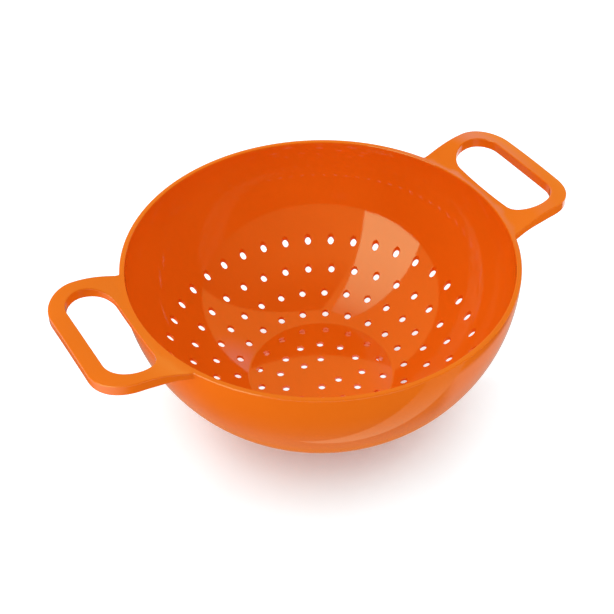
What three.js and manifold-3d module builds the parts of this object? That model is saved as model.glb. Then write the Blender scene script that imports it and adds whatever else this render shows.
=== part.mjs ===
// Round kitchen colander of glossy orange plastic, with a loop handle on each side.
// Units are millimetres, +Z is up, the origin is the centre of the foot ring's underside,
// and +X runs through the middle of the right handle.
import * as THREE from 'three';
import { mergeGeometries, mergeVertices } from 'three/addons/utils/BufferGeometryUtils.js';
import Module from 'manifold-3d';

const wasm = await Module();
wasm.setup();

// Driving dimensions of the bowl
const RIM_DIAMETER = 240;
const BOWL_DEPTH = 101;
const BASE_RADIUS = 47.2;
const WALL = 2;
const RIM_THICKNESS = 3.2;
const RIM_STRAIGHT = 2.7;
const RIM_EDGE_RADIUS = 0.9;
const BASE_THICKNESS = 2.2;

// Driving dimensions of the foot ring
const FOOT_HEIGHT = 7.8;
const FOOT_WALL = 3;
const FOOT_INSET = 0.5;
const FOOT_EDGE_RADIUS = 0.8;

// Driving dimensions of the drain holes, in rings that are counted from the middle out.
// Each ring's first hole is turned from +X by the angle given, and bare places have no hole.
const HOLE_DIAMETER = 4.4;
const FIRST_RING_RADIUS = 12.8;
const BASE_RING_TO_FOOT = 2.8;
const WALL_RING_TO_BASE = 7.3;
const PLAIN_BAND_HEIGHT = 55;
const BAND_TO_TOP_RING = 13.1;
const BASE_RINGS = [
  { count: 6, turn: 0, bare: [0, 3] },
  { count: 12, turn: 0, bare: [] },
  { count: 16, turn: 9, bare: [] },
];
const WALL_RINGS = [
  { count: 22, turn: 6.2, bare: [] },
  { count: 28, turn: 4.9, bare: [] },
  { count: 32, turn: 8.2, bare: [] },
  { count: 38, turn: 6.8, bare: [] },
];

// Driving dimensions of the handles, seen from above and in section
const HANDLE_REACH = 41.5;
const HANDLE_HALF_LENGTH = 47.4;
const HANDLE_CORNER_RADIUS = 22.5;
const HANDLE_SIDE_FLARE = THREE.MathUtils.degToRad(1.2);
const HANDLE_ROOT_FILLET = 1.2;
const HANDLE_ROOT_BLUNT = THREE.MathUtils.degToRad(25);
const HANDLE_THICKNESS = 6.8;
const HANDLE_ROOT_THICKNESS = 4.8;
const HANDLE_THICKENS_FROM = 4;
const HANDLE_THICKENS_TO = 22;
const HANDLE_RISE = 8.5;
const HANDLE_CREST_REACH = 31;
const HANDLE_GRIP_WIDTH = 9.8;
const HANDLE_ARM_WIDTH = 8.6;
const HANDLE_ROOT_LAND = 2.2;

// Gap between pieces that seat on each other along a curved face
const SEAT_GAP = 0.3;

// Fineness of the facets
const ROUND_SEGMENTS = 64;
const HOLE_SEGMENTS = 8;
const ARC_STEPS = 8;
const BAND_STEPS = 4;
const FILLET_STEPS = 3;
const EDGE_STEPS = 2;

// Sizes that follow from the driving dimensions
const RIM_RADIUS = RIM_DIAMETER / 2;
const RIM_INNER_RADIUS = RIM_RADIUS - RIM_THICKNESS;
const BASE_INSIDE_Z = FOOT_HEIGHT + BASE_THICKNESS;
const RIM_Z = BASE_INSIDE_Z + BOWL_DEPTH;
const ARC_CENTRE_Z = RIM_Z - RIM_STRAIGHT;
const ARC_RUN = RIM_RADIUS - WALL - BASE_RADIUS;
const ARC_DROP = BOWL_DEPTH - RIM_STRAIGHT;
const INNER_ARC_RADIUS = (ARC_RUN ** 2 + ARC_DROP ** 2) / (2 * ARC_RUN);
const OUTER_ARC_RADIUS = INNER_ARC_RADIUS + WALL;
const ARC_CENTRE_RADIUS = RIM_RADIUS - OUTER_ARC_RADIUS;
const MIDDLE_ARC_RADIUS = INNER_ARC_RADIUS + WALL / 2;
const BAND_BOTTOM_Z = RIM_Z - PLAIN_BAND_HEIGHT;
const RIM_SPLIT_Z = RIM_Z - PLAIN_BAND_HEIGHT / 2;
const LOW_RING_RADIUS = BASE_RADIUS + WALL_RING_TO_BASE;
const TOP_RING_RADIUS = wallRadiusAtHeight(MIDDLE_ARC_RADIUS, BAND_BOTTOM_Z - BAND_TO_TOP_RING);
const STRAINER_SPLIT_Z = wallHeightAtRadius(MIDDLE_ARC_RADIUS, (LOW_RING_RADIUS + TOP_RING_RADIUS) / 2);
const DISC_RADIUS = BASE_RADIUS - SEAT_GAP;
const FOOT_OUTER_RADIUS = DISC_RADIUS - FOOT_INSET;
const FOOT_INNER_RADIUS = FOOT_OUTER_RADIUS - FOOT_WALL;
const SLOT_HALF_WIDTH = (HANDLE_REACH - HANDLE_GRIP_WIDTH - HANDLE_ROOT_LAND) / 2;
const SLOT_HALF_LENGTH = HANDLE_HALF_LENGTH - HANDLE_ARM_WIDTH;

const plastic = new THREE.MeshStandardMaterial({ color: 0xe66010, roughness: 0.18, metalness: 0 });

// Solids and meshes
function solidOf(geometry) {
  const bare = geometry.index ? geometry.toNonIndexed() : geometry.clone();
  bare.deleteAttribute('normal');
  bare.deleteAttribute('uv');
  const merged = mergeVertices(bare);
  const vertProperties = Float32Array.from(merged.attributes.position.array);
  const triVerts = Uint32Array.from(merged.index.array);
  return new wasm.Manifold(new wasm.Mesh({ numProp: 3, vertProperties, triVerts }));
}

function meshOf(name, solid) {
  const { vertProperties, triVerts } = solid.getMesh();
  const geometry = new THREE.BufferGeometry();
  geometry.setAttribute('position', new THREE.BufferAttribute(vertProperties, 3));
  geometry.setIndex(new THREE.BufferAttribute(triVerts, 1));
  geometry.computeVertexNormals();
  const mesh = new THREE.Mesh(geometry, plastic);
  mesh.name = name;
  return mesh;
}

// A closed section in the radius-height plane, turned about the Z axis
function revolve(section) {
  const geometry = new THREE.LatheGeometry([...section, section[0]], ROUND_SEGMENTS);
  return solidOf(geometry.rotateX(Math.PI / 2));
}

function arcPoints(centreX, centreY, radius, from, to, steps) {
  const points = [];
  for (let i = 0; i <= steps; i += 1) {
    const angle = from + ((to - from) * i) / steps;
    points.push(new THREE.Vector2(centreX + radius * Math.cos(angle), centreY + radius * Math.sin(angle)));
  }
  return points;
}

// The bowl's wall is one arc in section, from the edge of the base to upright just under the rim.
// Its angles are counted from level, so the rim end is at zero and lower points are negative.
function wallArc(radius, from, to) {
  return arcPoints(ARC_CENTRE_RADIUS, ARC_CENTRE_Z, radius, from, to, BAND_STEPS);
}

function wallAngleAtRadius(arcRadius, radius) {
  return -Math.acos((radius - ARC_CENTRE_RADIUS) / arcRadius);
}

function wallAngleAtHeight(arcRadius, height) {
  return -Math.asin((ARC_CENTRE_Z - height) / arcRadius);
}

function wallRadiusAtHeight(arcRadius, height) {
  return ARC_CENTRE_RADIUS + Math.sqrt(arcRadius ** 2 - (ARC_CENTRE_Z - height) ** 2);
}

function wallHeightAtRadius(arcRadius, radius) {
  return ARC_CENTRE_Z - Math.sqrt(arcRadius ** 2 - (radius - ARC_CENTRE_RADIUS) ** 2);
}

// Drain holes run straight up and down, the way the mould opens, on evenly spaced rings
function holePattern(rings, innermost, outermost) {
  const pins = [];
  rings.forEach((ring, index) => {
    const radius = innermost + ((outermost - innermost) * index) / (rings.length - 1);
    for (let i = 0; i < ring.count; i += 1) {
      if (ring.bare.includes(i)) continue;
      const angle = THREE.MathUtils.degToRad(ring.turn) + (2 * Math.PI * i) / ring.count;
      const pin = new THREE.CylinderGeometry(HOLE_DIAMETER / 2, HOLE_DIAMETER / 2, RIM_Z, HOLE_SEGMENTS);
      pin.rotateX(Math.PI / 2);
      pin.translate(radius * Math.cos(angle), radius * Math.sin(angle), RIM_Z / 2);
      pins.push(pin);
    }
  });
  return solidOf(mergeGeometries(pins));
}

// The wall is four bands that meet level. Each edge of a band is at the angle that the given
// function finds for an arc, so that its inside and outside end at the same place.
const angleAtBase = (arcRadius) => wallAngleAtRadius(arcRadius, BASE_RADIUS);
const angleAtStrainerSplit = (arcRadius) => wallAngleAtHeight(arcRadius, STRAINER_SPLIT_Z);
const angleAtPlainBand = (arcRadius) => wallAngleAtHeight(arcRadius, BAND_BOTTOM_Z);
const angleAtRimSplit = (arcRadius) => wallAngleAtHeight(arcRadius, RIM_SPLIT_Z);

function wallBand(angleBelow, angleAbove) {
  const outside = wallArc(OUTER_ARC_RADIUS, angleBelow(OUTER_ARC_RADIUS), angleAbove(OUTER_ARC_RADIUS));
  const inside = wallArc(INNER_ARC_RADIUS, angleAbove(INNER_ARC_RADIUS), angleBelow(INNER_ARC_RADIUS));
  return revolve([...outside, ...inside]);
}

// Inside of the wall's top, from the rim down, where the rim's thickness eases off to the wall's
function rimInside() {
  const points = [];
  for (let i = 0; i <= BAND_STEPS; i += 1) {
    const part = i / BAND_STEPS;
    const angle = angleAtRimSplit(INNER_ARC_RADIUS) * part;
    const radius = INNER_ARC_RADIUS - (RIM_THICKNESS - WALL) * (1 - part) ** 2;
    points.push(new THREE.Vector2(
      ARC_CENTRE_RADIUS + radius * Math.cos(angle),
      ARC_CENTRE_Z + radius * Math.sin(angle),
    ));
  }
  return points;
}

// Top of the wall, upright at its end, with the rounded rim edge
function rimWall() {
  const edge = Math.min(RIM_EDGE_RADIUS, RIM_THICKNESS / 2.5);
  const outside = wallArc(OUTER_ARC_RADIUS, angleAtRimSplit(OUTER_ARC_RADIUS), 0);
  const outerEdge = arcPoints(RIM_RADIUS - edge, RIM_Z - edge, edge, 0, Math.PI / 2, EDGE_STEPS);
  const innerEdge = arcPoints(RIM_INNER_RADIUS + edge, RIM_Z - edge, edge, Math.PI / 2, Math.PI, EDGE_STEPS);
  return revolve([...outside, ...outerEdge, ...innerEdge, ...rimInside()]);
}

// Perforated band of the lower wall
function strainerBand(angleBelow, angleAbove) {
  const holes = holePattern(WALL_RINGS, LOW_RING_RADIUS, TOP_RING_RADIUS);
  return wallBand(angleBelow, angleAbove).subtract(holes);
}

// Flat perforated base
function baseDisc() {
  const disc = new THREE.CylinderGeometry(DISC_RADIUS, DISC_RADIUS, BASE_THICKNESS, ROUND_SEGMENTS);
  disc.rotateX(Math.PI / 2);
  disc.translate(0, 0, FOOT_HEIGHT + BASE_THICKNESS / 2);
  const holes = holePattern(BASE_RINGS, FIRST_RING_RADIUS, FOOT_INNER_RADIUS - BASE_RING_TO_FOOT);
  return solidOf(disc).subtract(holes);
}

// Ring under the base that the colander stands on
function footRing() {
  const outer = FOOT_OUTER_RADIUS;
  const inner = FOOT_INNER_RADIUS;
  const edge = Math.min(FOOT_EDGE_RADIUS, FOOT_WALL / 3);
  const underInside = arcPoints(inner + edge, edge, edge, Math.PI, 1.5 * Math.PI, EDGE_STEPS);
  const underOutside = arcPoints(outer - edge, edge, edge, 1.5 * Math.PI, 2 * Math.PI, EDGE_STEPS);
  const top = [new THREE.Vector2(outer, FOOT_HEIGHT), new THREE.Vector2(inner, FOOT_HEIGHT)];
  return revolve([...underInside, ...underOutside, ...top]);
}

// One side of the handle's outline, from the middle of its outer edge to its root on the rim
function handleHalfOutline() {
  const seatRadius = RIM_RADIUS + SEAT_GAP;
  const corner = new THREE.Vector2(
    RIM_RADIUS + HANDLE_REACH - HANDLE_CORNER_RADIUS,
    HANDLE_HALF_LENGTH - HANDLE_CORNER_RADIUS,
  );
  const sideTurn = Math.PI / 2 - HANDLE_SIDE_FLARE;
  const cornerArc = arcPoints(corner.x, corner.y, HANDLE_CORNER_RADIUS, 0, sideTurn, ARC_STEPS);

  // The root fillet touches the flared side and the rim's circle
  const outward = new THREE.Vector2(Math.cos(sideTurn), Math.sin(sideTurn));
  const along = new THREE.Vector2(-outward.y, outward.x);
  const start = corner.clone().addScaledVector(outward, HANDLE_CORNER_RADIUS + HANDLE_ROOT_FILLET);
  const half = start.dot(along);
  const run = -half - Math.sqrt(half ** 2 - start.lengthSq() + (seatRadius + HANDLE_ROOT_FILLET) ** 2);
  const fillet = start.clone().addScaledVector(along, run);
  const from = sideTurn - Math.PI;
  const to = Math.atan2(-fillet.y, -fillet.x) - HANDLE_ROOT_BLUNT;
  const filletArc = arcPoints(fillet.x, fillet.y, HANDLE_ROOT_FILLET, from, to, FILLET_STEPS);
  const tip = filletArc[filletArc.length - 1];
  const insideWall = tip.clone().multiplyScalar(RIM_INNER_RADIUS / tip.length());
  return [...cornerArc, ...filletArc, insideWall];
}

// Slot for the fingers: a stadium with round ends
function slotOutline() {
  const endCentre = SLOT_HALF_LENGTH - SLOT_HALF_WIDTH;
  const centre = RIM_RADIUS + HANDLE_ROOT_LAND + SLOT_HALF_WIDTH;
  const farEnd = arcPoints(centre, endCentre, SLOT_HALF_WIDTH, 0, Math.PI, 2 * ARC_STEPS);
  const nearEnd = arcPoints(centre, -endCentre, SLOT_HALF_WIDTH, Math.PI, 2 * Math.PI, 2 * ARC_STEPS);
  return [...farEnd, ...nearEnd];
}

// The handle's top starts level with the rim, rises outwards and levels off at its crest
function handleTopHeight(radius) {
  const part = (radius - RIM_RADIUS) / HANDLE_CREST_REACH;
  return RIM_Z + HANDLE_RISE * part * (2 - part);
}

// The handle is thin where it leaves the rim and thickens to the grip
function handleThickness(radius) {
  const reach = radius - RIM_RADIUS;
  const part = THREE.MathUtils.smoothstep(reach, HANDLE_THICKENS_FROM, HANDLE_THICKENS_TO);
  return THREE.MathUtils.lerp(HANDLE_ROOT_THICKNESS, HANDLE_THICKNESS, part);
}

// Right handle: its outline from above, kept between two surfaces turned about the bowl's axis
function rightHandle() {
  const side = handleHalfOutline();
  const mirrored = side.map((point) => new THREE.Vector2(point.x, -point.y)).reverse();
  const shape = new THREE.Shape([...mirrored, ...side]);
  shape.holes.push(new THREE.Path(slotOutline()));
  const plan = new THREE.ExtrudeGeometry(shape, { depth: 2 * RIM_Z, bevelEnabled: false });

  const innerRadius = RIM_RADIUS + SEAT_GAP;
  const outerRadius = Math.hypot(RIM_RADIUS + HANDLE_REACH, HANDLE_HALF_LENGTH);
  const top = [];
  for (let i = 0; i <= ARC_STEPS; i += 1) {
    const radius = innerRadius + ((outerRadius - innerRadius) * i) / ARC_STEPS;
    top.push(new THREE.Vector2(radius, handleTopHeight(radius)));
  }
  const under = top.map((point) => new THREE.Vector2(point.x, point.y - handleThickness(point.x)));
  return solidOf(plan).intersect(revolve([...under, ...top.reverse()]));
}

const colander = new THREE.Group();
colander.add(meshOf('rim_wall', rimWall()));
colander.add(meshOf('plain_wall', wallBand(angleAtPlainBand, angleAtRimSplit)));
colander.add(meshOf('upper_strainer', strainerBand(angleAtStrainerSplit, angleAtPlainBand)));
colander.add(meshOf('lower_strainer', strainerBand(angleAtBase, angleAtStrainerSplit)));
colander.add(meshOf('base_disc', baseDisc()));
colander.add(meshOf('foot_ring', footRing()));

const handle = rightHandle();
colander.add(meshOf('right_handle', handle));
const leftHandle = meshOf('left_handle', handle);
leftHandle.rotation.z = Math.PI;
colander.add(leftHandle);

export default colander;
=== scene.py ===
# Glossy orange colander: bowl wall, base plate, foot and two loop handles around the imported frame.
# Shapes are worked out in millimetres in the frame's own axes and turned into metres at the end.
import math

import bmesh
import bpy
from mathutils import Matrix, Vector
from mathutils.geometry import delaunay_2d_cdt


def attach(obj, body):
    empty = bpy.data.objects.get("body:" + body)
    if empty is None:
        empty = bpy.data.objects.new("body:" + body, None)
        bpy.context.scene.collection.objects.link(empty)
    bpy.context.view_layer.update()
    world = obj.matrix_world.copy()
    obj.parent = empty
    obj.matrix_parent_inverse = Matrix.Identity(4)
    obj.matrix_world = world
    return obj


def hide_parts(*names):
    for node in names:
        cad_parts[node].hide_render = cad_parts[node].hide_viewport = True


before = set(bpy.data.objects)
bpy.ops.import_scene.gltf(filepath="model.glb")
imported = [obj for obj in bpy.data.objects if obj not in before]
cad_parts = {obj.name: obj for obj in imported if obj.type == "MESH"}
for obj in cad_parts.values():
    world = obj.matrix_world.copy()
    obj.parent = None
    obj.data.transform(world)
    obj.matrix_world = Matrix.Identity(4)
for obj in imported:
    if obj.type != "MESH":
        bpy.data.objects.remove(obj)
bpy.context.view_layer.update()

MM = 0.001

# Bowl
RIM_RADIUS = 120.0
WALL = 2.0
RIM_THICKNESS = 3.2
RIM_INNER_RADIUS = RIM_RADIUS - RIM_THICKNESS
BASE_RADIUS = 47.2
FOOT_HEIGHT = 7.8
BASE_THICKNESS = 2.2
BASE_TOP_Z = FOOT_HEIGHT + BASE_THICKNESS
BOWL_DEPTH = 101.0
RIM_Z = BASE_TOP_Z + BOWL_DEPTH
RIM_STRAIGHT = 2.7
RIM_EDGE = 0.75
RIM_EASE_HEIGHT = 27.5
ARC_CENTRE_Z = RIM_Z - RIM_STRAIGHT
ARC_RUN = RIM_RADIUS - WALL - BASE_RADIUS
ARC_DROP = BOWL_DEPTH - RIM_STRAIGHT
INNER_ARC = (ARC_RUN ** 2 + ARC_DROP ** 2) / (2 * ARC_RUN)
OUTER_ARC = INNER_ARC + WALL
ARC_CENTRE_RADIUS = RIM_RADIUS - OUTER_ARC
EASE_ANGLE = -math.asin((RIM_EASE_HEIGHT - RIM_STRAIGHT) / INNER_ARC)

# Drain holes: (ring radius, number of holes, turn of the first in degrees, bare places)
HOLE_RADIUS = 2.2
HOLE_LIP = 0.3
HOLE_SIDES = 32
BASE_RINGS = [
    (12.8, 6, 0.0, (0, 3)),
    (26.7, 12, 0.0, ()),
    (40.6, 16, 9.0, ()),
]
WALL_RINGS = [
    (54.5, 22, 6.2, ()),
    (68.35, 28, 4.9, ()),
    (82.2, 32, 8.2, ()),
    (96.05, 38, 6.8, ()),
]
RING_PITCH = 13.85
CREASE_HALF = 0.8
CREASE_UNDER_NORMAL = (0.3, -1)

# Half the gap between rings of cells, the gap between the last ring and the plain wall, and that wall's steps
STITCH = 0.5
PLAIN_GAP = 1.2
PLAIN_STEPS = 18

# Foot ring
FOOT_OUTER = 46.4
FOOT_INNER = 43.4
FOOT_EDGE = 0.8
FOOT_FILLET = 1.0
FOOT_LAP = 0.02
FOOT_OUTER_DROP = 0.4
FOOT_OUTER_END = 110
FOOT_SEGMENTS = 240

# Handles
HANDLE_REACH = 41.5
HANDLE_HALF_LENGTH = 47.4
HANDLE_CORNER = 22.5
HANDLE_FLARE = math.radians(1.2)
HANDLE_ROOT_FILLET = 1.2
HANDLE_THICKNESS = 6.8
HANDLE_ROOT_THICKNESS = 4.8
HANDLE_THICKENS_FROM = 4.0
HANDLE_THICKENS_TO = 22.0
HANDLE_RISE = 8.5
HANDLE_CREST_REACH = 31.0
HANDLE_SOFT_START = 2.0
HANDLE_EDGE = 0.75
SLOT_REACH = 16.95
SLOT_HALF_WIDTH = 14.75
SLOT_HALF_LENGTH = 38.8
OUTLINE_STEP = 1.6
PATCH_GRID = 3.0
PATCH_CLEAR = 0.45 * PATCH_GRID
PATCH_HALF = HANDLE_HALF_LENGTH + 20
EDGE_STEPS = 5

# A handle starts on the rim's top, and the rim sinks under it: a small step first, then the full depth
ROOT_RADIUS = RIM_INNER_RADIUS + RIM_EDGE
ROOT_STEP = 0.05
ROOT_SINK = 0.6


class Shell:
    """Points with their own smooth normals, and faces between them, in millimetres."""

    def __init__(self):
        self.points = []
        self.normals = []
        self.faces = []
        self.known = {}

    def add(self, position, normal, layer=""):
        """A point is shared where one is known at that place in the same layer."""
        key = (layer,) + tuple(round(c, 4) for c in position)
        if key not in self.known:
            self.known[key] = len(self.points)
            self.points.append(Vector(position))
            self.normals.append(Vector(normal).normalized())
        return self.known[key]

    def face(self, corners, flip=False):
        loop = [c for i, c in enumerate(corners) if c != corners[i - 1]]
        if len(loop) > 2:
            self.faces.append(tuple(reversed(loop)) if flip else tuple(loop))

    def strip(self, upper, lower, flip=False):
        """Joins two closed loops that have as many points."""
        for i in range(len(upper)):
            k = (i + 1) % len(upper)
            self.face((upper[i], upper[k], lower[k], lower[i]), flip)

    def fan(self, ring, middle, flip=False):
        for i in range(len(ring)):
            self.face((ring[i], ring[(i + 1) % len(ring)], middle), flip)

    def columns(self, columns, closed=False):
        """Joins neighbouring rows of points, each from its first to its last."""
        pairs = list(zip(columns, columns[1:]))
        if closed:
            pairs.append((columns[-1], columns[0]))
        for first, second in pairs:
            for i in range(len(first) - 1):
                self.face((first[i], first[i + 1], second[i + 1], second[i]))

    def turn(self, index):
        point = self.points[index]
        return math.atan2(point.y, point.x) % (2 * math.pi)

    def zipper(self, outer, inner, flip=False):
        """Joins two rings about the Z axis that have different numbers of points."""
        outer = sorted(outer, key=self.turn)
        inner = sorted(inner, key=self.turn)
        full = 2 * math.pi
        outer_turns = [self.turn(i) for i in outer] + [self.turn(outer[0]) + full]
        inner_turns = [self.turn(i) for i in inner] + [self.turn(inner[0]) + full]
        a = b = 0
        while a < len(outer) or b < len(inner):
            here = (outer[a % len(outer)], inner[b % len(inner)])
            next_outer = outer_turns[a + 1] if a < len(outer) else math.inf
            next_inner = inner_turns[b + 1] if b < len(inner) else math.inf
            if next_outer <= next_inner:
                a += 1
                self.face((here[0], outer[a % len(outer)], here[1]), flip)
            else:
                b += 1
                self.face((here[0], inner[b % len(inner)], here[1]), flip)

    def piece(self, name, material):
        mesh = bpy.data.meshes.new(name)
        mesh.from_pydata([p * MM for p in self.points], [], self.faces)
        mesh.validate()
        for polygon in mesh.polygons:
            polygon.use_smooth = True
        mesh.normals_split_custom_set_from_vertices(self.normals)
        mesh.materials.append(material)
        piece = bpy.data.objects.new(name, mesh)
        bpy.context.scene.collection.objects.link(piece)
        return piece


# The wall's inside and outside, as heights and normals over the plan
def wall_surface(arc, side):
    def at(x, y):
        radius = math.hypot(x, y)
        run = radius - ARC_CENTRE_RADIUS
        rise = -math.sqrt(arc ** 2 - run ** 2)
        normal = Vector((run * x / radius, run * y / radius, rise)) * side
        return ARC_CENTRE_Z + rise, normal
    return at


def flat_surface(height, side):
    def at(x, y):
        return height, Vector((0, 0, side))
    return at


WALL_INSIDE = wall_surface(INNER_ARC, -1)
WALL_OUTSIDE = wall_surface(OUTER_ARC, 1)
BASE_TOP = flat_surface(BASE_TOP_Z, 1)
BASE_UNDER = flat_surface(FOOT_HEIGHT, -1)

# The crease where the wall's inside meets the base's top
WALL_SLOPE = math.asin((BASE_RADIUS - ARC_CENTRE_RADIUS) / INNER_ARC)
CREASE_NORMAL = (-math.sin(WALL_SLOPE / 2), math.cos(WALL_SLOPE / 2))
CREASE_Z = BASE_TOP_Z + CREASE_HALF * math.tan(WALL_SLOPE) / 4


# One cell of the plan around a drain hole: its border, sampled to match the hole's circle
def cell_border(low, high, middle, half_turn):
    quarter = HOLE_SIDES // 4
    border = []
    for i in range(HOLE_SIDES):
        side, step = divmod((i + quarter // 2) % HOLE_SIDES, quarter)
        part = step / quarter
        radius = (high, high + (low - high) * part, low, low + (high - low) * part)[side]
        swing = (2 * part - 1, 1, 1 - 2 * part, -1)[side]
        angle = middle + half_turn * swing
        border.append((radius * math.cos(angle), radius * math.sin(angle)))
    return border


# Points of one side of a drain hole, from the cell's border over the lip to the bore
def hole_loops(shell, surface, down, border, centre, turn):
    loops = [[], [], [], [], []]
    for i in range(HOLE_SIDES):
        angle = turn + 2 * math.pi * i / HOLE_SIDES
        outward = Vector((math.cos(angle), math.sin(angle), 0))
        edge = centre + outward * (HOLE_RADIUS + HOLE_LIP)
        between = ((border[i][0] + edge.x) / 2, (border[i][1] + edge.y) / 2)
        for loop, (x, y) in zip(loops, (border[i], between, (edge.x, edge.y))):
            height, normal = surface(x, y)
            loop.append(shell.add((x, y, height), normal))
        for loop, bend in zip(loops[3:], (math.radians(45), math.radians(90))):
            spot = centre + outward * (HOLE_RADIUS + HOLE_LIP * (1 - math.sin(bend)))
            height, normal = surface(spot.x, spot.y)
            height += down * HOLE_LIP * (1 - math.cos(bend))
            lean = normal.normalized() * math.cos(bend) - outward * math.sin(bend)
            loop.append(shell.add((spot.x, spot.y, height), lean))
    return loops


# A perforated skin: rings of cells on both surfaces, bores between them, and joins from ring to ring.
# Returns the points on the low and high edges of each ring, and the last ring's number.
def perforate(shell, rings, upper, lower, inner_edge, outer_edge):
    borders = {}
    last = len(rings) - 1
    for k, (radius, count, first, bare) in enumerate(rings):
        low = inner_edge if k == 0 else (rings[k - 1][0] + radius) / 2 + STITCH
        high = outer_edge if k == last else (radius + rings[k + 1][0]) / 2 - STITCH
        for i in range(count):
            turn = math.radians(first) + 2 * math.pi * i / count
            centre = Vector((radius * math.cos(turn), radius * math.sin(turn), 0))
            border = cell_border(low, high, turn, math.pi / count)
            bores = []
            for name, surface, down in (("upper", upper, -1), ("lower", lower, 1)):
                flip = name == "lower"
                loops = hole_loops(shell, surface, down, border, centre, turn)
                if i in bare:
                    height, normal = surface(centre.x, centre.y)
                    middle = shell.add((centre.x, centre.y, height), normal)
                    shell.strip(loops[0], loops[1], flip)
                    shell.fan(loops[1], middle, flip)
                else:
                    for outer_loop, inner_loop in zip(loops, loops[1:]):
                        shell.strip(outer_loop, inner_loop, flip)
                bores.append(loops[-1])
                for index, (x, y) in zip(loops[0], border):
                    for edge, limit in (("low", low), ("high", high)):
                        if abs(math.hypot(x, y) - limit) < 1e-6:
                            borders.setdefault((k, name, edge), set()).add(index)
            if i not in bare:
                shell.strip(*bores)
    for k in range(last):
        for name in ("upper", "lower"):
            outer_loop = borders[(k + 1, name, "low")]
            shell.zipper(outer_loop, borders[(k, name, "high")], name == "lower")
    return borders, last


def ring_loop(shell, radius, height, normal, turns, layer=""):
    loop = []
    for turn in turns:
        c, s = math.cos(turn), math.sin(turn)
        place = (radius * c, radius * s, height)
        loop.append(shell.add(place, (normal[0] * c, normal[0] * s, normal[1]), layer))
    return loop


# Handle outline seen from above: points with outward normals, from one root to the other
def arc_run(centre, radius, start, end, side):
    steps = max(6, math.ceil(abs(end - start) * radius / OUTLINE_STEP))
    run = []
    for i in range(steps + 1):
        angle = start + (end - start) * i / steps
        ray = Vector((math.cos(angle), math.sin(angle)))
        run.append((centre + ray * radius, ray * side))
    return run


def line_run(start, end, normal):
    steps = max(1, math.ceil((end - start).length / OUTLINE_STEP))
    return [(start.lerp(end, i / steps), normal.copy()) for i in range(1, steps)]


def handle_outline():
    corner = Vector((RIM_RADIUS + HANDLE_REACH - HANDLE_CORNER, HANDLE_HALF_LENGTH - HANDLE_CORNER))
    side_turn = math.pi / 2 - HANDLE_FLARE
    outward = Vector((math.cos(side_turn), math.sin(side_turn)))
    along = Vector((-outward.y, outward.x))
    start = corner + outward * (HANDLE_CORNER + HANDLE_ROOT_FILLET)
    half = start.dot(along)
    reach = RIM_RADIUS + HANDLE_ROOT_FILLET
    run = -half - math.sqrt(half ** 2 - start.length_squared + reach ** 2)
    fillet = start + along * run
    root_turn = math.atan2(fillet.y, fillet.x)
    corner_run = arc_run(corner, HANDLE_CORNER, 0, side_turn, 1)
    fillet_run = arc_run(fillet, HANDLE_ROOT_FILLET, side_turn - math.pi, root_turn - math.pi, -1)
    side_run = line_run(corner_run[-1][0], fillet_run[0][0], outward)
    outer_half = Vector((RIM_RADIUS + HANDLE_REACH, 0))
    grip_run = [(outer_half, Vector((1, 0)))] + line_run(outer_half, corner_run[0][0], Vector((1, 0)))
    upper = grip_run + corner_run + side_run + fillet_run
    lower = [(Vector((p.x, -p.y)), Vector((n.x, -n.y))) for p, n in reversed(upper[1:])]
    return lower + upper, root_turn


def slot_outline():
    centre = Vector((RIM_RADIUS + SLOT_REACH, 0))
    end = Vector((0, SLOT_HALF_LENGTH - SLOT_HALF_WIDTH))
    far = arc_run(centre + end, SLOT_HALF_WIDTH, math.pi, 0, -1)
    near = arc_run(centre - end, SLOT_HALF_WIDTH, 0, -math.pi, -1)
    outer_side = line_run(far[-1][0], near[0][0], Vector((-1, 0)))
    inner_side = line_run(near[-1][0], far[0][0], Vector((1, 0)))
    return far + outer_side + near + inner_side


OUTLINE, ROOT_TURN = handle_outline()
SLOT = slot_outline()


# The handle's top leaves the rim level, rises outwards and levels off at its crest
def handle_top(x, y):
    radius = math.hypot(x, y)
    beyond = max(0.0, radius - RIM_RADIUS)
    soft = math.hypot(beyond, HANDLE_SOFT_START)
    crest = math.hypot(HANDLE_CREST_REACH, HANDLE_SOFT_START) - HANDLE_SOFT_START
    part = (soft - HANDLE_SOFT_START) / crest
    slope = HANDLE_RISE * (2 - 2 * part) / crest * beyond / soft
    normal = Vector((-slope * x / radius, -slope * y / radius, 1)).normalized()
    return RIM_Z + HANDLE_RISE * part * (2 - part), normal


# The underside follows the top at a thickness that grows from the rim to the grip
def handle_under(x, y):
    radius = math.hypot(x, y)
    spread = HANDLE_THICKENS_TO - HANDLE_THICKENS_FROM
    part = min(1.0, max(0.0, (radius - RIM_RADIUS - HANDLE_THICKENS_FROM) / spread))
    growth = HANDLE_THICKNESS - HANDLE_ROOT_THICKNESS
    thickness = HANDLE_ROOT_THICKNESS + growth * part * part * (3 - 2 * part)
    steepening = growth * 6 * part * (1 - part) / spread
    height, normal = handle_top(x, y)
    slope = -(normal.x * x + normal.y * y) / (radius * normal.z) - steepening
    return height - thickness, Vector((slope * x / radius, slope * y / radius, -1)).normalized()


# The rim's rays: even steps, with the roots of the handles as rays of their own
def rim_turns():
    roots = [ROOT_TURN, math.pi - ROOT_TURN, math.pi + ROOT_TURN, 2 * math.pi - ROOT_TURN]
    even = [math.radians(i) for i in range(360)]
    near = math.radians(0.3)
    kept = [t for t in even if all(abs(t - r) > near for r in roots)]
    return sorted(kept + roots)


RIM_TURNS = rim_turns()


def under_handle(turn):
    from_axis = abs(math.remainder(turn, math.pi))
    return from_axis < ROOT_TURN - 1e-6


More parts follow.
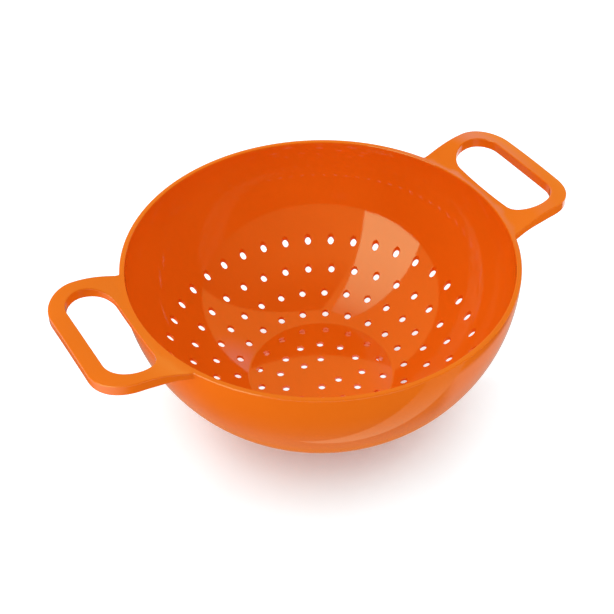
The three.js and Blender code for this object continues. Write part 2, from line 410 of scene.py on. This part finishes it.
# The plain wall's section: up the inside, over the rounded rim and down the outside.
# Each point has its radius and height, its normal, and how far it sinks under a handle.
def plain_section(low_radius):
    inside_from = -math.acos((low_radius - ARC_CENTRE_RADIUS) / INNER_ARC)
    outside_from = -math.acos((low_radius - ARC_CENTRE_RADIUS) / OUTER_ARC)
    section = []
    for i in range(PLAIN_STEPS + 1):
        bend = inside_from * (1 - i / PLAIN_STEPS)
        c, s = math.cos(bend), math.sin(bend)
        near_rim = max(0.0, 1 - bend / EASE_ANGLE)
        arc = INNER_ARC - (RIM_THICKNESS - WALL) * near_rim ** 2
        lean = 2 * (RIM_THICKNESS - WALL) * near_rim / EASE_ANGLE
        place = (ARC_CENTRE_RADIUS + arc * c, ARC_CENTRE_Z + arc * s)
        section.append((place, (-arc * c - lean * s, -arc * s + lean * c), 0))
    for centre, start in ((ROOT_RADIUS, math.pi), (RIM_RADIUS - RIM_EDGE, math.pi / 2)):
        for i in range(EDGE_STEPS + 1):
            bend = start - math.pi / 2 * i / EDGE_STEPS
            place = (centre + RIM_EDGE * math.cos(bend), RIM_Z - RIM_EDGE + RIM_EDGE * math.sin(bend))
            sunk = ROOT_SINK
            if start == math.pi:
                sunk = ROOT_STEP if i == EDGE_STEPS else 0
            section.append((place, (math.cos(bend), math.sin(bend)), sunk))
    for i in range(PLAIN_STEPS + 1):
        bend = outside_from * i / PLAIN_STEPS
        c, s = math.cos(bend), math.sin(bend)
        section.append(((ARC_CENTRE_RADIUS + OUTER_ARC * c, ARC_CENTRE_Z + OUTER_ARC * s), (c, s), 0))
    return section


# Bowl wall: perforated skin below, plain wall and rounded rim above
def bowl_wall(material):
    shell = Shell()
    low = BASE_RADIUS + CREASE_HALF
    high = WALL_RINGS[-1][0] + RING_PITCH / 2
    borders, last = perforate(shell, WALL_RINGS, WALL_INSIDE, WALL_OUTSIDE, low, high)
    loops = []
    for (radius, height), normal, sunk in plain_section(high + PLAIN_GAP):
        loop = []
        for turn in RIM_TURNS:
            c, s = math.cos(turn), math.sin(turn)
            drop = sunk if under_handle(turn) else 0
            place = (radius * c, radius * s, height - drop)
            loop.append(shell.add(place, (normal[0] * c, normal[0] * s, normal[1])))
        loops.append(loop)
    for inner_loop, outer_loop in zip(loops, loops[1:]):
        shell.strip(outer_loop, inner_loop)
    shell.zipper(loops[0], borders[(last, "upper", "high")])
    shell.zipper(loops[-1], borders[(last, "lower", "high")], True)

    # Crease at the base, and the hidden face that meets the base plate
    low_upper = sorted(borders[(0, "upper", "low")], key=shell.turn)
    low_lower = sorted(borders[(0, "lower", "low")], key=shell.turn)
    turns = [shell.turn(i) for i in low_upper]
    crease = ring_loop(shell, BASE_RADIUS, CREASE_Z, CREASE_NORMAL, turns)
    shell.strip(low_upper, crease)
    under_z = WALL_OUTSIDE(BASE_RADIUS, 0)[0]
    under = ring_loop(shell, BASE_RADIUS, under_z, CREASE_UNDER_NORMAL, turns)
    shell.strip(low_lower, under, True)
    top_edge = ring_loop(shell, BASE_RADIUS, CREASE_Z, (-1, 0), turns, "end")
    low_edge = ring_loop(shell, BASE_RADIUS, under_z, (-1, 0), turns, "end")
    shell.strip(top_edge, low_edge)
    return shell.piece("bowl_wall", material)


# Base plate with its rings of holes, ending at the crease
def base_plate(material):
    shell = Shell()
    low = BASE_RINGS[0][0] - RING_PITCH / 2
    high = BASE_RADIUS - CREASE_HALF
    borders, last = perforate(shell, BASE_RINGS, BASE_TOP, BASE_UNDER, low, high)
    for name, height, side in (("upper", BASE_TOP_Z, 1), ("lower", FOOT_HEIGHT, -1)):
        ring = sorted(borders[(0, name, "low")], key=shell.turn)
        middle = shell.add((0, 0, height), (0, 0, side))
        shell.fan(ring, middle, name == "lower")
    count = WALL_RINGS[0][1] * HOLE_SIDES // 4
    first = math.radians(WALL_RINGS[0][2])
    turns = [first + 2 * math.pi * i / count for i in range(count)]
    crease = ring_loop(shell, BASE_RADIUS, CREASE_Z, CREASE_NORMAL, turns)
    shell.zipper(crease, borders[(last, "upper", "high")])
    under = ring_loop(shell, BASE_RADIUS, FOOT_HEIGHT, (0, -1), turns)
    shell.zipper(under, borders[(last, "lower", "high")], True)
    top_edge = ring_loop(shell, BASE_RADIUS, CREASE_Z, (1, 0), turns, "end")
    low_edge = ring_loop(shell, BASE_RADIUS, FOOT_HEIGHT, (1, 0), turns, "end")
    shell.strip(top_edge, low_edge, True)
    return shell.piece("base_plate", material)


# Foot: a ring with rounded lower edges and small fillets against the base
def bend_run(centre, radius, start, end, side):
    run = []
    for i in range(EDGE_STEPS + 1):
        angle = math.radians(start + (end - start) * i / EDGE_STEPS)
        c, s = math.cos(angle), math.sin(angle)
        run.append(((centre[0] + radius * c, centre[1] + radius * s), (side * c, side * s)))
    return run


def foot(material):
    fillet_z = FOOT_HEIGHT + FOOT_LAP - FOOT_FILLET
    outer_fillet = (FOOT_OUTER + FOOT_FILLET, fillet_z - FOOT_OUTER_DROP)
    section = bend_run((FOOT_INNER - FOOT_FILLET, fillet_z), FOOT_FILLET, 90, 0, -1)
    section += bend_run((FOOT_INNER + FOOT_EDGE, FOOT_EDGE), FOOT_EDGE, 180, 270, 1)
    section += bend_run((FOOT_OUTER - FOOT_EDGE, FOOT_EDGE), FOOT_EDGE, 270, 360, 1)
    section += bend_run(outer_fillet, FOOT_FILLET, 180, FOOT_OUTER_END, -1)
    shell = Shell()
    turns = [2 * math.pi * i / FOOT_SEGMENTS for i in range(FOOT_SEGMENTS)]
    loops = [ring_loop(shell, *place, normal, turns) for place, normal in section]
    for first, second in zip(loops, loops[1:]):
        shell.strip(first, second)
    inner_top = ring_loop(shell, *section[0][0], (0, 1), turns, "end")
    outer_top = ring_loop(shell, *section[-1][0], (0, 1), turns, "end")
    shell.strip(outer_top, inner_top)
    return shell.piece("foot", material)


# Loop handle: top and underside over the outline from above, rounded edges, and a root inside the wall
def handle_edge(place, normal):
    inset = place - normal * HANDLE_EDGE
    sideways = Vector((normal.x, normal.y, 0))
    halves = []
    for surface, down in ((handle_top, 1), (handle_under, -1)):
        height, lean = surface(inset.x, inset.y)
        half = []
        for i in range(EDGE_STEPS + 1):
            bend = math.pi / 2 * i / EDGE_STEPS
            spot = inset + normal * HANDLE_EDGE * math.sin(bend)
            level = height - down * HANDLE_EDGE * (1 - math.cos(bend))
            half.append(((spot.x, spot.y, level), lean * math.cos(bend) + sideways * math.sin(bend)))
        halves.append(half)
    return halves[0] + halves[1][::-1]


def inside_polygon(x, y, polygon):
    inside = False
    for (ax, ay), (bx, by) in zip(polygon, polygon[1:] + polygon[:1]):
        if (ay > y) != (by > y) and x < ax + (bx - ax) * (y - ay) / (by - ay):
            inside = not inside
    return inside


def distance_to(x, y, polygon):
    return min(math.hypot(x - px, y - py) for px, py in polygon)


# Triangles between the border and the slot, in plan, with a grid of points inside
def handle_plan(border, slot):
    def within(x, y):
        return inside_polygon(x, y, border) and not inside_polygon(x, y, slot)

    outlines = border + slot
    base = len(border)
    edges = [(i, (i + 1) % base) for i in range(base)]
    edges += [(base + i, base + (i + 1) % len(slot)) for i in range(len(slot))]
    spots = list(outlines)
    x = ROOT_RADIUS
    while x < RIM_RADIUS + HANDLE_REACH:
        y = -PATCH_HALF
        while y < PATCH_HALF:
            if within(x, y) and distance_to(x, y, outlines) > PATCH_CLEAR:
                spots.append((x, y))
            y += PATCH_GRID
        x += PATCH_GRID
    made = delaunay_2d_cdt([Vector(s) for s in spots], edges, [], 0, 1e-6)
    triangles = []
    for triangle in made[2]:
        corners = [made[0][i] for i in triangle]
        middle = sum(corners, Vector((0, 0))) / 3
        if within(middle.x, middle.y):
            triangles.append(corners)
    return triangles


def loop_handle(name, half_turn, material):
    shell = Shell()
    spin = Matrix.Rotation(half_turn, 3, "Z")

    def add(place, normal, layer=""):
        return shell.add(spin @ Vector(place), spin @ Vector(normal), layer)

    # Rounded edges
    edge_sections = [handle_edge(place, normal) for place, normal in OUTLINE]
    slot_sections = [handle_edge(place, normal) for place, normal in SLOT]
    for sections, closed in ((edge_sections, False), (slot_sections, True)):
        shell.columns([[add(*spot) for spot in section] for section in sections], closed)

    # Top and underside
    turns = [math.remainder(t, 2 * math.pi) for t in RIM_TURNS]
    turns = sorted(t for t in turns if abs(t) < ROOT_TURN + 1e-6)
    root = [(ROOT_RADIUS * math.cos(t), ROOT_RADIUS * math.sin(t)) for t in reversed(turns)]
    border = [section[0][0][:2] for section in edge_sections] + root
    slot = [section[0][0][:2] for section in slot_sections]
    for corners in handle_plan(border, slot):
        for surface, flip in ((handle_top, False), (handle_under, True)):
            face = []
            for x, y in corners:
                height, lean = surface(x, y)
                face.append(add((x, y, height), lean))
            shell.face(face, flip)

    # Root: hidden faces inside the wall
    columns = []
    for x, y in root:
        heights = (handle_top(x, y)[0], handle_under(x, y)[0])
        columns.append([add((x, y, height), (-x, -y, 0), "end") for height in heights])
    shell.columns(columns)
    caps = ((edge_sections[-1], columns[0], 1), (edge_sections[0], columns[-1], -1))
    for section, column, side in caps:
        cap = [add(place, (0, side, 0), "cap") for place, _ in section]
        ends = [add(spin.transposed() @ shell.points[i], (0, side, 0), "cap") for i in column]
        shell.face(cap + ends[::-1], side < 0)
    return shell.piece(name, material)


class Nodes:
    """Short calls for building a node tree."""

    def __init__(self, tree):
        self.tree = tree

    def add(self, kind, inputs=(), **settings):
        node = self.tree.nodes.new(kind)
        for name, value in settings.items():
            setattr(node, name, value)
        for socket, value in dict(inputs).items():
            self.feed(node.inputs[socket], value)
        return node

    def feed(self, socket, value):
        if isinstance(value, bpy.types.NodeSocket):
            self.tree.links.new(value, socket)
        else:
            socket.default_value = value

    def math(self, operation, *values, clamp=False):
        node = self.add("ShaderNodeMath", operation=operation, use_clamp=clamp)
        for socket, value in zip(node.inputs, values):
            self.feed(socket, value)
        return node.outputs[0]

    def spread(self, value, low, high, to_low, to_high, **settings):
        """Value from low to high becomes to_low to to_high."""
        inputs = {"Value": value, "From Min": low, "From Max": high, "To Min": to_low, "To Max": to_high}
        return self.add("ShaderNodeMapRange", inputs, **settings).outputs[0]

    def ease(self, value, low, high, to_low, to_high):
        """Like spread, with a soft start and end."""
        return self.spread(value, low, high, to_low, to_high, interpolation_type="SMOOTHSTEP")

    def noise(self, place, scale, detail):
        return self.add("ShaderNodeTexNoise", {"Vector": place, "Scale": scale, "Detail": detail}).outputs[0]

    def place(self):
        return self.add("ShaderNodeTexCoord").outputs["Object"]

    def reach(self, place):
        return self.add("ShaderNodeVectorMath", {0: place}, operation="LENGTH").outputs["Value"]

    def along(self, place, direction):
        node = self.add("ShaderNodeVectorMath", {0: place, 1: direction}, operation="DOT_PRODUCT")
        return node.outputs["Value"]

    def blend(self, part, first, second):
        """The first colour where part is 0, and the second where it is 1."""
        return self.add("ShaderNodeMix", {0: part, 6: first, 7: second}, data_type="RGBA").outputs[2]

    def glow(self, colour, strength):
        return self.add("ShaderNodeEmission", {"Color": colour, "Strength": strength}).outputs[0]

    def fade(self, part, shader):
        """Clear where part is 0, and the shader where it is 1."""
        clear = self.add("ShaderNodeBsdfTransparent").outputs[0]
        return self.add("ShaderNodeMixShader", {0: part, 1: clear, 2: shader}).outputs[0]

    def surface(self, shader):
        self.add("ShaderNodeOutputMaterial", {"Surface": shader})


# Orange plastic: pigment that drifts a little, a thin haze in the gloss, and the slight waves of a mould.
# Each noise has a scale and a detail, and the heights are in metres.
DEEP_ORANGE = (0.88, 0.155, 0.004, 1)
PALE_ORANGE = (0.94, 0.176, 0.006, 1)
PIGMENT_NOISE = (14, 3)
HAZE_NOISE = (90, 4)
WAVE_NOISE = (24, 1)
GRAIN_NOISE = (900, 2)
NOISE_RANGE = (0.3, 0.7)
ROUGHNESS = (0.035, 0.065)
WAVE_HEIGHT = 0.00006
GRAIN_HEIGHT = 0.000002


def glossy_plastic():
    material = bpy.data.materials.new("orange_plastic")
    material.use_nodes = True
    nodes = Nodes(material.node_tree)
    shader = material.node_tree.nodes["Principled BSDF"]
    place = nodes.place()
    drift = nodes.spread(nodes.noise(place, *PIGMENT_NOISE), *NOISE_RANGE, 0, 1)
    nodes.feed(shader.inputs["Base Color"], nodes.blend(drift, DEEP_ORANGE, PALE_ORANGE))
    haze = nodes.noise(place, *HAZE_NOISE)
    nodes.feed(shader.inputs["Roughness"], nodes.spread(haze, *NOISE_RANGE, *ROUGHNESS))
    waves = nodes.add("ShaderNodeBump", {
        "Height": nodes.noise(place, *WAVE_NOISE),
        "Distance": WAVE_HEIGHT,
    })
    grain = nodes.add("ShaderNodeBump", {
        "Height": nodes.noise(place, *GRAIN_NOISE),
        "Distance": GRAIN_HEIGHT,
        "Normal": waves.outputs[0],
    })
    nodes.feed(shader.inputs["Normal"], grain.outputs[0])
    return material


plastic = glossy_plastic()
wall = bowl_wall(plastic)
base = base_plate(plastic)
foot_piece = foot(plastic)
right = loop_handle("right_grip", 0, plastic)
left = loop_handle("left_grip", math.pi, plastic)

REPLACED = (
    (wall, ("rim_wall", "plain_wall", "upper_strainer", "lower_strainer")),
    (base, ("base_disc",)),
    (foot_piece, ("foot_ring",)),
    (right, ("right_handle",)),
    (left, ("left_handle",)),
)
for piece, nodes in REPLACED:
    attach(piece, "root")
    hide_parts(*nodes)

# Directions in the studio are turns in degrees from the camera's side, to the right seen from the camera
CAMERA_SIDE = math.radians(-31.28)
WHITE = (1, 1, 1, 1)
CORNERS = ((-1, -1), (1, -1), (1, 1), (-1, 1))


def studio_direction(turn, rise):
    angle = CAMERA_SIDE + math.radians(turn)
    lift = math.radians(rise)
    return Vector((math.sin(angle) * math.cos(lift), -math.cos(angle) * math.cos(lift), math.sin(lift)))


def studio_floor(x, y):
    spot = Matrix.Rotation(CAMERA_SIDE, 3, "Z") @ Vector((x, y, 0))
    return spot.x, spot.y


# Sheets of the studio, level at a height in millimetres until they are turned
def sheet(name, outline, height, material):
    mesh = bpy.data.meshes.new(name)
    points = [(x * MM, y * MM, height * MM) for x, y in outline]
    mesh.from_pydata(points, [], [tuple(range(len(outline)))])
    return stand(name, mesh, material)


def stand(name, mesh, material):
    mesh.materials.append(material)
    piece = bpy.data.objects.new(name, mesh)
    bpy.context.scene.collection.objects.link(piece)
    return piece


def disc_outline(radius, sides=96):
    turns = [2 * math.pi * i / sides for i in range(sides)]
    return [(radius * math.cos(turn), radius * math.sin(turn)) for turn in turns]


def only_in_reflections(piece):
    piece.visible_camera = False
    piece.visible_diffuse = False
    piece.visible_transmission = False
    piece.visible_shadow = False
    piece.data.materials[0].cycles.emission_sampling = "NONE"


def bare_material(name):
    material = bpy.data.materials.new(name)
    material.use_nodes = True
    material.node_tree.nodes.clear()
    return material, Nodes(material.node_tree)


def straight_rays(nodes):
    path = nodes.add("ShaderNodeLightPath")
    seen = nodes.math("ADD", path.outputs["Is Camera Ray"], path.outputs["Is Glossy Ray"])
    return nodes.math("ADD", seen, path.outputs["Is Transmission Ray"], clamp=True)


# White floor that keeps its real shadow, with a little painted light of its own where it lies open or behind
# the object
FLOOR_HALF = 60000
FLOOR_COLOUR = (0.83, 0.93, 0.95, 1)
FLOOR_GLOW = (0.76, 0.95, 1.0, 1)
OPEN_DISTANCE = 0.12
OPEN_SAMPLES = 8
OPEN_FROM, OPEN_TO = 0.32, 0.58
GLOW_FROM, GLOW_TO = 0.03, 0.55
BEHIND_FROM, BEHIND_TO = 0.03, -0.03


def floor_material():
    material, nodes = bare_material("floor")
    matt = nodes.add("ShaderNodeBsdfDiffuse", {"Color": FLOOR_COLOUR})
    cover = nodes.add("ShaderNodeAmbientOcclusion", {"Distance": OPEN_DISTANCE}, samples=OPEN_SAMPLES)
    ahead = nodes.along(nodes.place(), studio_direction(0, 0))
    behind = nodes.spread(ahead, BEHIND_FROM, BEHIND_TO, 0, 1)
    # Painted light and shade: the glow is full behind the object and where ambient occlusion finds the floor
    # open, and fades near the bowl into a painted contact shadow
    clear = nodes.math("MAXIMUM", cover.outputs["AO"], behind)
    lift = nodes.spread(clear, OPEN_FROM, OPEN_TO, GLOW_FROM, GLOW_TO)
    glow = nodes.glow(FLOOR_GLOW, nodes.math("MULTIPLY", straight_rays(nodes), lift))
    both = nodes.add("ShaderNodeAddShader", {0: matt.outputs[0], 1: glow})
    nodes.surface(both.outputs[0])
    return material


floor_outline = [(x * FLOOR_HALF, y * FLOOR_HALF) for x, y in CORNERS]
sheet("floor", floor_outline, 0, floor_material())

# Glowing disc on the floor inside the foot, painted light where that floor lies in the foot's shade: white
# through the base's holes, and a little light on what is round it
FOOT_GLOW_RADIUS = FOOT_INNER - 1
FOOT_GLOW_HEIGHT = 0.5


def foot_glow_material():
    material, nodes = bare_material("foot_glow")
    # Painted light: the disc glows white
    nodes.surface(nodes.glow(WHITE, 1))
    return material


sheet("foot_glow", disc_outline(FOOT_GLOW_RADIUS), FOOT_GLOW_HEIGHT, foot_glow_material())

# Cards that only reflections see: one round the bowl, orange close to it and dark in front, and a pale wedge.
# The orange close to the bowl is painted bounce light.
# Reaches are distances from the bowl's axis in metres.
# A side has a first and a last reach, and the glow at each.
CARD_RADIUS = 850
CARD_HEIGHT = 0.4
CARD_COLOUR = (1.0, 0.75, 0.65, 1)
CARD_GLOW = 1.25
FRONT_SIDE = (0.08, 0.165, 0.3, 0.07)
RIGHT_SIDE = (0.08, 0.19, 0.4, 0.58)
RIGHT_END = (0.18, 0.198)
RIGHT_END_GLOW = 0.05
LEFT_SIDE = (0.09, 0.19, 0.44, 0.12)
RIGHT_TURNS = (math.radians(50), math.radians(62))
LEFT_TURNS = (math.radians(-42), math.radians(-66))
UNDER_REACH = (0.085, 0.13)
UNDER_COLOUR = (1.0, 0.36, 0.12, 1)
UNDER_GLOW = 0.75

# The card ends softly, and it is long on the right
CARD_REACH = (0.29, 0.85)
LONG_TURN = math.radians(75)
LONG_SPREAD = (math.radians(45), math.radians(15))
FADE_FROM = 0.8

PALE_WEDGE = [(-20, -110.5), (230, -176), (230, -87)]
WEDGE_HEIGHT = 0.6
WEDGE_COLOUR = (1.0, 0.85, 0.58, 1)
WEDGE_REACH = (0.12, 0.2)
WEDGE_GLOW = (0.86, 0.36)


def card_material():
    material, nodes = bare_material("card")
    place = nodes.place()
    reach = nodes.reach(place)
    across = nodes.along(place, studio_direction(90, 0))
    turn = nodes.math("ARCTAN2", across, nodes.along(place, studio_direction(0, 0)))
    on_right = nodes.ease(reach, *RIGHT_END, nodes.spread(reach, *RIGHT_SIDE), RIGHT_END_GLOW)
    glow = nodes.ease(turn, *RIGHT_TURNS, nodes.spread(reach, *FRONT_SIDE), on_right)
    glow = nodes.ease(turn, *LEFT_TURNS, glow, nodes.spread(reach, *LEFT_SIDE))
    # Close to the bowl the card glows orange: painted bounce light
    glow = nodes.spread(reach, *UNDER_REACH, UNDER_GLOW, nodes.math("MULTIPLY", glow, CARD_GLOW))
    colour = nodes.blend(nodes.spread(reach, *UNDER_REACH, 0, 1), UNDER_COLOUR, CARD_COLOUR)
    from_long = nodes.math("ABSOLUTE", nodes.math("SUBTRACT", turn, LONG_TURN))
    limit = nodes.ease(from_long, *LONG_SPREAD, *CARD_REACH)
    part = nodes.ease(nodes.math("DIVIDE", reach, limit), 1, FADE_FROM, 0, 1)
    nodes.surface(nodes.fade(part, nodes.glow(colour, glow)))
    return material


def wedge_material():
    material, nodes = bare_material("pale_card")
    strength = nodes.spread(nodes.reach(nodes.place()), *WEDGE_REACH, *WEDGE_GLOW)
    nodes.surface(nodes.glow(WEDGE_COLOUR, strength))
    return material


only_in_reflections(sheet("card", disc_outline(CARD_RADIUS), CARD_HEIGHT, card_material()))
wedge_outline = [studio_floor(x, y) for x, y in PALE_WEDGE]
only_in_reflections(sheet("pale_card", wedge_outline, WEDGE_HEIGHT, wedge_material()))

# White world for straight rays, and even light from all round
AMBIENT = 0.69
world = bpy.data.worlds.new("studio")
bpy.context.scene.world = world
world.use_nodes = True
world.node_tree.nodes.clear()
world_nodes = Nodes(world.node_tree)
dome = world_nodes.spread(straight_rays(world_nodes), 0, 1, AMBIENT, 1)
backdrop = world_nodes.add("ShaderNodeBackground", {"Color": WHITE, "Strength": dome})
world_nodes.add("ShaderNodeOutputWorld", {"Surface": backdrop.outputs[0]})

# Tent that only reflections see: warm and pale, and darker in front and on the right, most of all high up.
# The dark side's turns are in degrees, and its rises are sines.
TENT_RADIUS = 5.0
TENT_COLOUR = (1.0, 0.6, 0.12, 1)
PALE_SIDE = 1.6
DARK_SIDE = 0.1
DARK_FROM, DARK_TO = -30, 97
DARK_EDGE = 1
DARK_LOW = (1.5, 0.2)
DARK_RISE = (0.75, 0.98)


def tent_material():
    material, nodes = bare_material("tent")
    ray = nodes.add("ShaderNodeVectorMath", {0: nodes.place()}, operation="NORMALIZE").outputs[0]
    middle = (DARK_FROM + DARK_TO) / 2
    half = (DARK_TO - DARK_FROM) / 2
    across = nodes.along(ray, studio_direction(middle + 90, 0))
    turn = nodes.math("ARCTAN2", across, nodes.along(ray, studio_direction(middle, 0)))
    low = nodes.spread(turn, math.radians(-half), math.radians(half), *DARK_LOW)
    dark = nodes.spread(nodes.along(ray, (0, 0, 1)), *DARK_RISE, low, DARK_SIDE)
    edge = (math.radians(half + DARK_EDGE), math.radians(half - DARK_EDGE))
    strength = nodes.ease(nodes.math("ABSOLUTE", turn), *edge, PALE_SIDE, dark)
    nodes.surface(nodes.glow(TENT_COLOUR, strength))
    return material


tent_mesh = bpy.data.meshes.new("tent")
tent_shape = bmesh.new()
bmesh.ops.create_icosphere(tent_shape, subdivisions=4, radius=TENT_RADIUS)
tent_shape.to_mesh(tent_mesh)
tent_shape.free()
only_in_reflections(stand("tent", tent_mesh, tent_material()))

# Soft pale disc that only reflections see, behind the bowl on the right: aimed from a spot in the bowl
SPOT_RADIUS = 95
SPOT_AIM = (143, 37)
SPOT_FROM = (-54, 9, 13)
SPOT_DISTANCE = 350
SPOT_COLOUR = (0.8, 1.0, 0.95, 1)
SPOT_GLOW = 1.6


def spot_material():
    material, nodes = bare_material("pale_spot")
    part = nodes.ease(nodes.reach(nodes.place()), SPOT_RADIUS * MM, 0, 0, 1)
    nodes.surface(nodes.fade(part, nodes.glow(SPOT_COLOUR, SPOT_GLOW)))
    return material


pale_spot = sheet("pale_spot", disc_outline(SPOT_RADIUS), 0, spot_material())
aim = studio_direction(*SPOT_AIM)
start = Vector((*studio_floor(*SPOT_FROM[:2]), SPOT_FROM[2]))
spot_turn = aim.to_track_quat("Z", "Y").to_matrix().to_4x4()
pale_spot.matrix_world = Matrix.Translation((start + aim * SPOT_DISTANCE) * MM) @ spot_turn
only_in_reflections(pale_spot)


# A place that faces the rim's middle, by its turn and rise, distance and roll.
# The offset is in its own plane, and lengths are in metres.
def facing_rim(turn, rise, distance, roll=0, offset=(0, 0)):
    out = studio_direction(turn, rise)
    level = studio_direction(turn + 90, 0)
    lift = out.cross(level)
    spin = math.radians(roll)
    side = level * math.cos(spin) + lift * math.sin(spin)
    tall = lift * math.cos(spin) - level * math.sin(spin)
    centre = Vector((0, 0, RIM_Z * MM)) + out * distance + side * offset[0] + tall * offset[1]
    return Matrix.Translation(centre) @ Matrix((side, tall, out)).transposed().to_4x4()


# Tall window that only reflections see, fading from its foot to its top
WINDOW_SIZE = (0.9, 6.3)
WINDOW_COLOUR = (0.8, 1.0, 0.48, 1)
WINDOW_GLOW = (5.0, 1.6)
WINDOW_FADE = (-2.4, 1.0)
WINDOW_PLACE = facing_rim(-37, 11.8, 1.2, 6.5, (-0.292, 2.85))


def window_material():
    material, nodes = bare_material("window")
    height = nodes.add("ShaderNodeSeparateXYZ", {0: nodes.place()}).outputs["Y"]
    strength = nodes.spread(height, *WINDOW_FADE, *WINDOW_GLOW)
    nodes.surface(nodes.glow(WINDOW_COLOUR, strength))
    return material


half_width, half_height = (size / 2 / MM for size in WINDOW_SIZE)
window_outline = [(x * half_width, y * half_height) for x, y in CORNERS]
window = sheet("window", window_outline, 0, window_material())
window.matrix_world = WINDOW_PLACE
only_in_reflections(window)


# Softboxes that reflections don't see: a place, a width and height in metres, and a brightness
def softbox(name, place, size, brightness):
    lamp = bpy.data.lights.new(name, "AREA")
    lamp.shape = "RECTANGLE"
    lamp.size, lamp.size_y = size
    lamp.energy = brightness * math.pi * size[0] * size[1]
    holder = bpy.data.objects.new(name, lamp)
    bpy.context.scene.collection.objects.link(holder)
    holder.matrix_world = place
    holder.visible_camera = False
    holder.visible_glossy = False


LAMP_SIZE = (1.2, 1.0)
LOW_LAMP_SIZE = (0.9, 0.1)
softbox("window_light", WINDOW_PLACE, WINDOW_SIZE, 0.68)
softbox("low_right", facing_rim(70, -6, 0.6), LOW_LAMP_SIZE, 2.8)
softbox("low_left", facing_rim(-70, -6, 0.6), LOW_LAMP_SIZE, 3.9)
softbox("back_left", facing_rim(-140, 35, 1.7), LAMP_SIZE, 1.0)
softbox("back_right", facing_rim(140, 35, 1.7), LAMP_SIZE, 0.45)

# Camera
CAMERA_PLACE = (-0.2874, -0.4731, 0.5761)
CAMERA_TURN = CAMERA_SIDE + math.radians(0.875)
CAMERA_PITCH = math.radians(42.527)
CAMERA_ROLL = math.radians(-1.235)
camera_data = bpy.data.cameras.new("camera")
camera_data.sensor_width = 36
camera_data.lens = 70.67
camera = bpy.data.objects.new("camera", camera_data)
bpy.context.scene.collection.objects.link(camera)
bpy.context.scene.camera = camera
forward = Vector((
    -math.sin(CAMERA_TURN) * math.cos(CAMERA_PITCH),
    math.cos(CAMERA_TURN) * math.cos(CAMERA_PITCH),
    -math.sin(CAMERA_PITCH),
))
level = Vector((math.cos(CAMERA_TURN), math.sin(CAMERA_TURN), 0))
upward = level.cross(forward)
right_axis = level * math.cos(CAMERA_ROLL) + upward * math.sin(CAMERA_ROLL)
up_axis = upward * math.cos(CAMERA_ROLL) - level * math.sin(CAMERA_ROLL)
camera_turn = Matrix((right_axis, up_axis, -forward)).transposed()
camera.matrix_world = Matrix.Translation(CAMERA_PLACE) @ camera_turn.to_4x4()
bpy.context.scene.view_settings.view_transform = "Standard"
